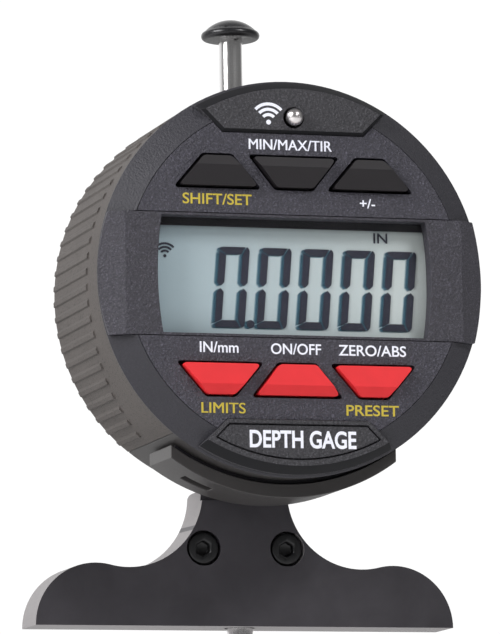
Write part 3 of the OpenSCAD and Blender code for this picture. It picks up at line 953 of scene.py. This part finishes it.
@dataclass
class HeadShell:
    """The turning head's outer mouldings and its inner parts."""

    face: Face
    corner_mm: float = 0.7
    key_low_mm: float = 11.5
    key_high_mm: float = 18.0
    key_reach_mm: float = 24.7
    flank_mm: float = 0.45
    flank_high_mm: float = 20.8
    hole_mm: float = 2.0
    slope_reach_mm: float = 26.5
    # Where the painted shade strip in the battery door's gap lies.
    gap_shade_in_mm: float = 28.2
    gap_shade_out_mm: float = 28.85
    gap_shade_degrees: float = 34.0
    gap_shade_steps: int = 48
    gap_shade_short_mm: float = 1.0
    mouldings: dict[str, tuple[Any, float]] = field(
        default_factory=lambda: {
            "bottom_housing": (Finishes.housing, 0.15),
            "bezel": (Finishes.bezel, 0.12),
            "waist_panel": (Finishes.waist, 0.15),
            "badge_insert": (Finishes.badge, 0.12),
            "head_back_plate": (Finishes.case, 0.2),
            "battery_door": (Finishes.door, 0.25),
        }
    )
    inner: dict[str, Any] = field(
        default_factory=lambda: {
            "lcd_holder": Finishes.holder,
            "zebra_strips": Finishes.rubber,
            "main_board": Finishes.board,
            "controller_chip": Finishes.chip,
            "radio_module": Finishes.satin,
            "battery_contacts": Finishes.gold,
            "key_mat": Finishes.mat,
            "head_screws": Finishes.satin,
            "battery_cell": Finishes.satin,
        }
    )

    def key_corners(self, piece: bpy.types.Object) -> None:
        """Rounds the corners of a panel's key openings."""

        def corner(middle: Vector, along: Vector) -> bool:
            """True for an edge that runs front to back at an opening's corner."""
            high = abs(middle.z - self.face.centre_z) / MM
            reach = math.hypot(middle.x / MM, high)
            row = self.key_low_mm < high < self.key_high_mm
            return abs(along.y) > 0.9 and row and reach < self.key_reach_mm

        Bench.bevel_edges(piece, corner, self.corner_mm, 5, None, "WIDTH")

    def badge_slopes(self, piece: bpy.types.Object) -> None:
        """Cuts the flank slopes of a badge and darkens every slope round its front."""
        piece.data.materials.append(Finishes.get(Finishes.bevel))
        front = min(vertex.co.y for vertex in piece.data.vertices)
        low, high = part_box("send_button")
        button = (low + high) / 2

        def reach(middle: Vector) -> float:
            """Distance from the face's centre, in millimetres."""
            return math.hypot(middle.x, middle.z - self.face.centre_z) / MM

        def flank(middle: Vector, along: Vector) -> bool:
            """True for a front edge on the straight sides."""
            high = abs(middle.z - self.face.centre_z) / MM
            slanted = abs(along.x) < 0.8 and abs(along.z) < 0.8
            straight = high < self.flank_high_mm or slanted
            apart = math.hypot(middle.x - button.x, middle.z - button.z) / MM
            level = middle.y < front + 0.02 * MM and abs(along.y) < 0.1
            return level and straight and apart > self.hole_mm

        if piece.name.startswith("top_badge"):
            Bench.bevel_edges(piece, flank, self.flank_mm, 1, 1)
        for face in piece.data.polygons:
            sloped = -0.97 < face.normal.y < -0.15
            if sloped and reach(face.center) > self.slope_reach_mm:
                face.material_index = 1

    def door_gap_shade(self) -> None:
        """Models a dark strip in the gap between the rim and the drawer: painted shade
        where the gap lies in shadow.
        """
        low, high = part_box("battery_door")
        angles = [
            math.radians(-90 + self.gap_shade_degrees * (2 * i / self.gap_shade_steps - 1))
            for i in range(self.gap_shade_steps + 1)
        ]
        points = [
            (self.gap_shade_out_mm * math.cos(a), self.gap_shade_out_mm * math.sin(a))
            for a in angles
        ]
        points += [
            (self.gap_shade_in_mm * math.cos(a), self.gap_shade_in_mm * math.sin(a))
            for a in reversed(angles)
        ]
        deep = (high.y - low.y) / MM - 2 * self.gap_shade_short_mm
        strip = Bench.outline("door_gap_shade", points, deep)
        Bench.round_edges(strip, 0.05, 2)
        Bench.smooth(strip)
        out = (self.face.front_y - high.y) / MM + self.gap_shade_short_mm
        self.face.stand(strip, 0.0, 0.0, out)
        hold(strip, "head", Finishes.shadow)

    def build(self) -> None:
        """Finishes the mouldings, the ribbed grip and the inner parts, and lays the
        painted shade in the door's gap.
        """
        self.door_gap_shade()
        Moulding.finish("grip_ring", Finishes.grip, 0.06)
        for node in ("upper_panel", "lower_panel"):
            Moulding.finish(node, Finishes.panel, 0.12, 3, self.key_corners)
        for node in ("top_badge", "badge_frame"):
            Moulding.finish(node, Finishes.badge, 0.12, 2, self.badge_slopes)
        for node, (finish, edge) in self.mouldings.items():
            Moulding.finish(node, finish, edge, 3)
        for node, finish in self.inner.items():
            Moulding.finish(node, finish, 0.05)


# ---------------------------------------------------------------- display


@dataclass
class Display:
    """The window, the pale reflector with its painted shade, and the segments that read
    zero with their painted shadows.
    """

    face: Face
    digit_w: float = 4.5
    digit_h: float = 11.6
    bar: float = 1.06
    slant: float = 1.02
    first_x: float = -11.3
    base_y: float = -7.1
    pitch: float = 6.26
    digits: int = 5
    gap: float = 0.1
    point_r: float = 0.58
    lift_mm: float = 0.12
    lens_mm: float = 0.3
    # Size and place of the painted shade strip under the window's upper edge.
    shade_band_mm: float = 1.0
    shade_band_drop_mm: float = 0.7
    shade_band_in_mm: float = 0.1
    shade_band_thick_mm: float = 0.03
    shades: int = 3

    def build(self) -> None:
        """Builds the whole display."""
        Moulding.finish("lcd_glass", Finishes.lcd, 0.05)
        self.lens()
        self.mask()
        zero = self.zero()
        self.row(zero, "digit", 0.0, 0.0, self.lift_mm, Finishes.segment)
        # Painted shadow: three teal copies of the row, each shifted further left and down
        # and set lower, stand in for the segments' soft shadow on the reflector.
        for step in range(self.shades):
            self.row(
                zero,
                f"digit_shade_{step}",
                -0.2 - 0.16 * step,
                -0.05 - 0.05 * step,
                self.lift_mm * (0.75 - 0.22 * step),
                Finishes.halo,
            )
        bpy.data.objects.remove(zero)

    def lens(self) -> None:
        """Finishes the clear window as a thin sheet at the front of its node."""
        piece = Moulding.finish("window_lens", Finishes.window)
        low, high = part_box("window_lens")
        back = low.y + self.lens_mm * MM
        Bench.choose_faces(piece, lambda face: face.normal.y > 0.9)
        bpy.ops.transform.translate(value=(0, back - high.y, 0))
        bpy.ops.object.mode_set(mode="OBJECT")

    def mask(self) -> None:
        """Lays a dark sheet along the window's upper edge: painted shade where the
        window's upper wall shades the reflector.
        """
        low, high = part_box("lcd_glass")
        top = (high.z - self.face.centre_z) / MM
        half = (high.x - low.x) / 2 / MM - self.shade_band_in_mm
        foot = top - self.shade_band_drop_mm - self.shade_band_mm
        head = top - self.shade_band_in_mm
        band = Bench.outline(
            "window_mask",
            [(-half, foot), (half, foot), (half, head), (-half, head)],
            self.shade_band_thick_mm,
        )
        Bench.round_edges(band, 0.01, 1)
        out = (self.face.front_y - low.y) / MM + self.shade_band_thick_mm
        self.face.stand(band, 0.0, 0.0, out)
        hold(band, "head", Finishes.shadow)

    def _half(self) -> list[list[tuple[float, float]]]:
        """The three segments of a digit's upper half, measured from its lower left."""
        w, h, t, g = self.digit_w, self.digit_h, self.bar, self.gap
        mid = h / 2
        top = [
            (0.03, h - 0.42),
            (t + 0.03, h - t),
            (w - t - 0.12 - g, h - t),
            (w - 0.55 - g, h),
            (0.36, h),
            (0.16, h - 0.1),
        ]
        left = [
            (0.0, h - 0.5 - g),
            (0.0, mid + 0.68),
            (t / 2, mid + 0.14),
            (t, mid + 0.68),
            (t, h - t - g),
        ]
        right = [
            (w - t, h - t - g),
            (w - t, mid + 0.68),
            (w - t / 2, mid + 0.14),
            (w, mid + 0.68),
            (w, h - 0.6),
            (w - 0.1, h - 0.3),
            (w - 0.36, h),
            (w - 0.46, h),
        ]
        return [top, left, right]

    def _lean(self, x: float, y: float) -> tuple[float, float]:
        """Leans a point to the right as the digits do."""
        return x + self.slant * y / self.digit_h, y

    def zero(self) -> bpy.types.Object:
        """Models one leaning zero from its six segments."""
        parts = []
        for index, points in enumerate(self._half()):
            flipped = [(x, self.digit_h - y) for x, y in reversed(points)]
            for half, shape in (("upper", points), ("lower", flipped)):
                leaned = [self._lean(x, y) for x, y in shape]
                name = f"segment_{half}_{index}"
                parts.append(Bench.outline(name, leaned, PRINT_MM))
        return Bench.join("zero", parts)

    def row(
        self,
        zero: bpy.types.Object,
        name: str,
        shift_x: float,
        shift_y: float,
        lift_mm: float,
        finish: Any,
    ) -> None:
        """Copies the zero along the row, with the point after the first.

        Args:
            zero: The modelled zero.
            name: Name of the row's piece.
            shift_x: Sideways shift of the row, in millimetres.
            shift_y: Upward shift of the row, in millimetres.
            lift_mm: Height of the row above the reflector.
            finish: The row's finish.
        """
        out = (self.face.front_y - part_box("lcd_glass")[0].y) / MM + lift_mm
        parts = []
        for index in range(self.digits):
            digit = Bench.copy(zero, f"{name}_{index}")
            x = self.first_x + self.pitch * index + shift_x
            self.face.stand(digit, x, self.base_y + shift_y, out)
            parts.append(digit)
        Bench.clear()
        bpy.ops.mesh.primitive_cylinder_add(
            vertices=40, radius=self.point_r * MM, depth=PRINT_MM * MM
        )
        point = bpy.context.object
        x = self.first_x + self.digit_w + 0.92 + shift_x
        self.face.stand(point, x, self.base_y + 0.56 + shift_y, out + 0.01)
        parts.append(point)
        hold(Bench.join(name, parts), "head", finish)


# ---------------------------------------------------------------- legends


class Tone(Enum):
    """The colour a legend is printed in."""

    WHITE = "white"
    YELLOW = "yellow"
    SEGMENT = "segment"

    def finish(self) -> Ink:
        """The ink of this tone."""
        return {
            Tone.WHITE: Finishes.white,
            Tone.YELLOW: Finishes.yellow,
            Tone.SEGMENT: Finishes.segment,
        }[self]


@dataclass
class Legend:
    """One printed word: where its left, right, foot and top edges lie on the face."""

    words: str
    left: float
    right: float
    foot: float
    cap: float
    tone: Tone = Tone.WHITE
    out: float = 0.0
    weight: float = 0.012

    @staticmethod
    def set_type(words: str, weight: float) -> bpy.types.Object:
        """Sets words in type and makes them a mesh, one unit to the type's size.

        Args:
            words: The words.
            weight: How far the strokes' edges move out. A capital M can't be grown
                like that, so words with one are struck twice, side by side.

        Returns:
            The words' mesh.
        """
        Bench.clear()
        bpy.ops.object.text_add()
        piece = bpy.context.object
        piece.data.body = words
        piece.data.extrude = 0.01
        piece.data.offset = 0.0 if "M" in words else weight
        piece.data.resolution_u = 6
        Bench.pick(piece)
        bpy.ops.object.convert(target="MESH")
        piece = bpy.context.object
        if "M" not in words:
            return piece
        again = Bench.copy(piece, "second_strike")
        again.location = (2 * weight, 0, 0.01)
        Bench.settle(again)
        return Bench.join("struck_twice", [piece, again])

    def build(self, face: Face) -> bpy.types.Object:
        """Sets the words, sizes them by their capitals and stands them on the face."""
        gauge = Legend.set_type("H", self.weight)
        tall = max(vertex.co.y for vertex in gauge.data.vertices)
        bpy.data.objects.remove(gauge)
        piece = Legend.set_type(self.words, self.weight)
        xs = [vertex.co.x for vertex in piece.data.vertices]
        grow_x = (self.right - self.left) * MM / (max(xs) - min(xs))
        grow_y = self.cap * MM / tall
        for vertex in piece.data.vertices:
            vertex.co.x = (vertex.co.x - min(xs)) * grow_x
            vertex.co.y *= grow_y
            vertex.co.z *= 2.0 * MM
        piece.name = "legend_" + "".join(
            c if c.isalnum() else "_" for c in self.words.lower()
        )
        face.stand(piece, self.left, self.foot, self.out + 0.01)
        return hold(piece, "head", self.tone.finish())


@dataclass
class WaveMark:
    """A radio mark: a dot with three arcs over it."""

    name: str
    x: float
    y: float
    reach: float
    tone: Tone
    out: float
    arcs: int = 3
    steps: int = 20
    half_angle: float = 47.0
    thick_share: float = 0.155
    step_share: float = 0.27
    dot_share: float = 0.8
    dot_sides: int = 24

    def build(self, face: Face) -> bpy.types.Object:
        """Models the dot and the arcs and stands them on the face."""
        parts = []
        thick = self.reach * self.thick_share
        for index in range(self.arcs):
            outer = self.reach * (1.0 - self.step_share * index)
            inner = outer - thick
            angles = [
                math.radians(90 + self.half_angle * (1 - 2 * i / self.steps))
                for i in range(self.steps + 1)
            ]
            points = [(inner * math.cos(a), inner * math.sin(a)) for a in angles]
            points += [
                (outer * math.cos(a), outer * math.sin(a)) for a in reversed(angles)
            ]
            parts.append(Bench.outline(f"{self.name}_{index}", points, PRINT_MM))
        dot_r = self.dot_share * thick
        turns = [2 * math.pi * i / self.dot_sides for i in range(self.dot_sides)]
        ring = [(dot_r * math.cos(a), dot_r * math.sin(a)) for a in turns]
        parts.append(Bench.outline(f"{self.name}_dot", ring, PRINT_MM))
        mark = Bench.join(self.name, parts)
        face.stand(mark, self.x, self.y, self.out)
        return hold(mark, "head", self.tone.finish())


@dataclass
class Legends:
    """All the printing on the face."""

    face: Face
    badge_out: float = 0.4
    insert_out: float = 0.3

    def build(self) -> None:
        """Prints every legend and mark."""
        lcd_out = (self.face.front_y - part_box("lcd_glass")[0].y) / MM + 0.1
        for legend in (
            Legend("MIN/MAX/TIR", -6.65, 5.75, 18.2, 1.5),
            Legend("SHIFT/SET", -16.55, -6.35, 10.1, 1.5, Tone.YELLOW),
            Legend("+/-", 9.8, 12.1, 10.2, 1.3),
            Legend("IN/mm", -14.35, -8.65, -11.1, 1.5),
            Legend("ON/OFF", -3.85, 3.6, -11.15, 1.5),
            Legend("ZERO/ABS", 6.2, 16.3, -11.15, 1.5),
            Legend("LIMITS", -14.25, -7.75, -19.75, 1.5, Tone.YELLOW),
            Legend("PRESET", 7.2, 15.05, -19.75, 1.5, Tone.YELLOW),
            Legend("IN", 12.75, 14.85, 5.65, 1.45, Tone.SEGMENT, lcd_out),
            Legend(
                "DEPTH GAGE", -7.3, 8.5, -24.5, 2.4, Tone.WHITE, self.insert_out, 0.025
            ),
        ):
            legend.build(self.face)
        WaveMark(
            "radio_mark", -3.75, 22.1, 2.85, Tone.WHITE, self.badge_out + 0.01
        ).build(self.face)
        WaveMark(
            "radio_sign", -18.4, 2.95, 1.95, Tone.SEGMENT, lcd_out
        ).build(self.face)


# ---------------------------------------------------------------- keys


@dataclass
class Keys:
    """The six ridged keys and the ball-ended send button."""

    face: Face
    edge_mm: float = 0.14
    corner_mm: float = 0.65
    ball_r_mm: float = 1.25
    pin_r_mm: float = 0.75
    dimple_mm: float = 0.14
    dimple_edge_mm: float = 0.05
    dimple_share: float = 0.96

    def build(self) -> None:
        """Finishes the keys and models the send button."""
        for node in ("key_shift", "key_minmax", "key_sign"):
            Moulding.finish(node, Finishes.black_key, self.edge_mm, 4, self.corners)
        for node in ("key_units", "key_power", "key_zero"):
            Moulding.finish(node, Finishes.red_key, self.edge_mm, 4, self.corners)
        self.send()

    def corners(self, piece: bpy.types.Object) -> None:
        """Rounds the key's four corners."""
        Bench.bevel_edges(
            piece,
            lambda middle, along: abs(along.y) > 0.9,
            self.corner_mm,
            5,
            None,
            "WIDTH",
        )

    def send(self) -> None:
        """Models the ball with its centre dimple, on its pin."""
        low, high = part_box("send_button")
        Bench.clear()
        bpy.ops.mesh.primitive_uv_sphere_add(
            segments=64, ring_count=32, radius=self.ball_r_mm * MM
        )
        ball = bpy.context.object
        front = self.dimple_share * self.ball_r_mm * MM
        Bench.choose_faces(ball, lambda face: face.center.z > front)
        bpy.ops.mesh.inset(thickness=self.dimple_edge_mm * MM)
        bpy.ops.transform.translate(value=(0, 0, -self.dimple_mm * MM))
        bpy.ops.object.mode_set(mode="OBJECT")
        Bench.clear()
        length = high.y - low.y - self.ball_r_mm * MM
        bpy.ops.mesh.primitive_cylinder_add(
            vertices=32,
            radius=self.pin_r_mm * MM,
            depth=length,
            location=(0, 0, -length / 2),
        )
        pin = bpy.context.object
        piece = Bench.join("send_ball", [ball, pin])
        Bench.smooth(piece, 50)
        piece.rotation_euler = (math.radians(90), 0, 0)
        piece.location = (
            (low.x + high.x) / 2,
            low.y + self.ball_r_mm * MM,
            (low.z + high.z) / 2,
        )
        Bench.settle(piece)
        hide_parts("send_button")
        hold(piece, "send_key", Finishes.chrome)


# ---------------------------------------------------------------- studio


@dataclass
class Studio:
    """Floor, lights, background and camera."""

    face: Face
    distance_mm: float = 773.98
    yaw: float = 16.77
    pitch: float = 8.0
    roll: float = -0.95
    lens: float = 297.8
    aim: tuple[float, float, float] = (1.985, -1.2, -1.654)
    floor_mm: float = -110.0
    front_light: float = 0.16

    def build(self) -> None:
        """Sets up the whole studio."""
        self.floor()
        self.background()
        self.lights()
        self.camera()

    def floor(self) -> None:
        """A plain pale floor, well below the instrument."""
        Bench.clear()
        bpy.ops.mesh.primitive_plane_add(size=6.0, location=(0, 0, self.floor_mm * MM))
        floor = bpy.context.object
        floor.name = "floor"
        Bench.settle(floor)
        finish = SmoothPlastic("pale_floor", (0.85, 0.85, 0.85), 0.8, drift=0.01)
        Bench.dress(floor, finish)

    def background(self) -> None:
        """A white backdrop behind the instrument and a dimmer room in front of it."""
        world = bpy.data.worlds.new("studio")
        world.use_nodes = True
        tree = world.node_tree
        place = tree.nodes.new("ShaderNodeTexCoord")
        parts = tree.nodes.new("ShaderNodeSeparateXYZ")
        fade = tree.nodes.new("ShaderNodeMapRange")
        tree.nodes["Background"].inputs["Color"].default_value = (1.0, 1.0, 1.0, 1.0)
        tree.links.new(place.outputs["Generated"], parts.inputs[0])
        tree.links.new(parts.outputs["Y"], fade.inputs["Value"])
        fade.inputs["From Min"].default_value = 0.2
        fade.inputs["From Max"].default_value = 0.75
        fade.inputs["To Min"].default_value = self.front_light
        fade.inputs["To Max"].default_value = 1.05
        tree.links.new(fade.outputs["Result"], tree.nodes["Background"].inputs["Strength"])
        bpy.context.scene.world = world
        bpy.context.scene.view_settings.view_transform = "Standard"

    def lamp(
        self,
        name: str,
        place: tuple[float, float, float],
        size: float,
        watts: float,
        colour: tuple[float, float, float] = (1.0, 1.0, 1.0),
    ) -> None:
        """An area light aimed at the face.

        Args:
            name: The light's name.
            place: Its place, in metres.
            size: Width of the square panel.
            watts: Its power.
            colour: Its colour.
        """
        Bench.clear()
        bpy.ops.object.light_add(type="AREA", location=place)
        light = bpy.context.object
        light.name = name
        light.data.size = size
        light.data.energy = watts
        light.data.color = colour
        aim = Vector((0, 0, self.face.centre_z)) - Vector(place)
        light.rotation_euler = aim.to_track_quat("-Z", "Y").to_euler()

    def lights(self) -> None:
        """Soft key at the left, fill at the right and above."""
        self.lamp("left_key", (-0.75, -0.25, 0.5), 0.5, 9.5)
        self.lamp("upper_right", (0.45, -0.8, 0.75), 0.35, 6.0)

    def camera(self) -> None:
        """A long lens from the left and a little below."""
        yaw, pitch = math.radians(-self.yaw), math.radians(-self.pitch)
        back = Vector(
            (
                math.sin(yaw) * math.cos(pitch),
                -math.cos(yaw) * math.cos(pitch),
                math.sin(pitch),
            )
        )
        right = (-back).cross(Vector((0, 0, 1))).normalized()
        up = right.cross(-back)
        turn = math.radians(self.roll)
        side = math.cos(turn) * right + math.sin(turn) * up
        top = -math.sin(turn) * right + math.cos(turn) * up
        place = (
            Vector((self.aim[0], self.aim[1], self.aim[2] + self.face.centre_z / MM))
            + back * self.distance_mm
        ) * MM
        Bench.clear()
        bpy.ops.object.camera_add()
        camera = bpy.context.object
        camera.name = "view_camera"
        grid = Matrix((side, top, back)).transposed().to_4x4()
        camera.matrix_world = Matrix.Translation(place) @ grid
        camera.data.sensor_width = 36.0
        camera.data.lens = self.lens
        camera.data.clip_start = 0.01
        bpy.context.scene.camera = camera


# ---------------------------------------------------------------- build


def main() -> None:
    """Builds every sub-assembly in order and notes the sizes."""
    logging.basicConfig(level=logging.INFO, format="%(name)s: %(message)s")
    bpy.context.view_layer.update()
    face = Face.measured()
    for part in (
        Base(),
        SpindleTrain(),
        HeadShell(face),
        Display(face),
        Keys(face),
        Legends(face),
        Studio(face),
    ):
        part.build()
        log.info("%s done", type(part).__name__)


if __name__ == "__main__":
    main()
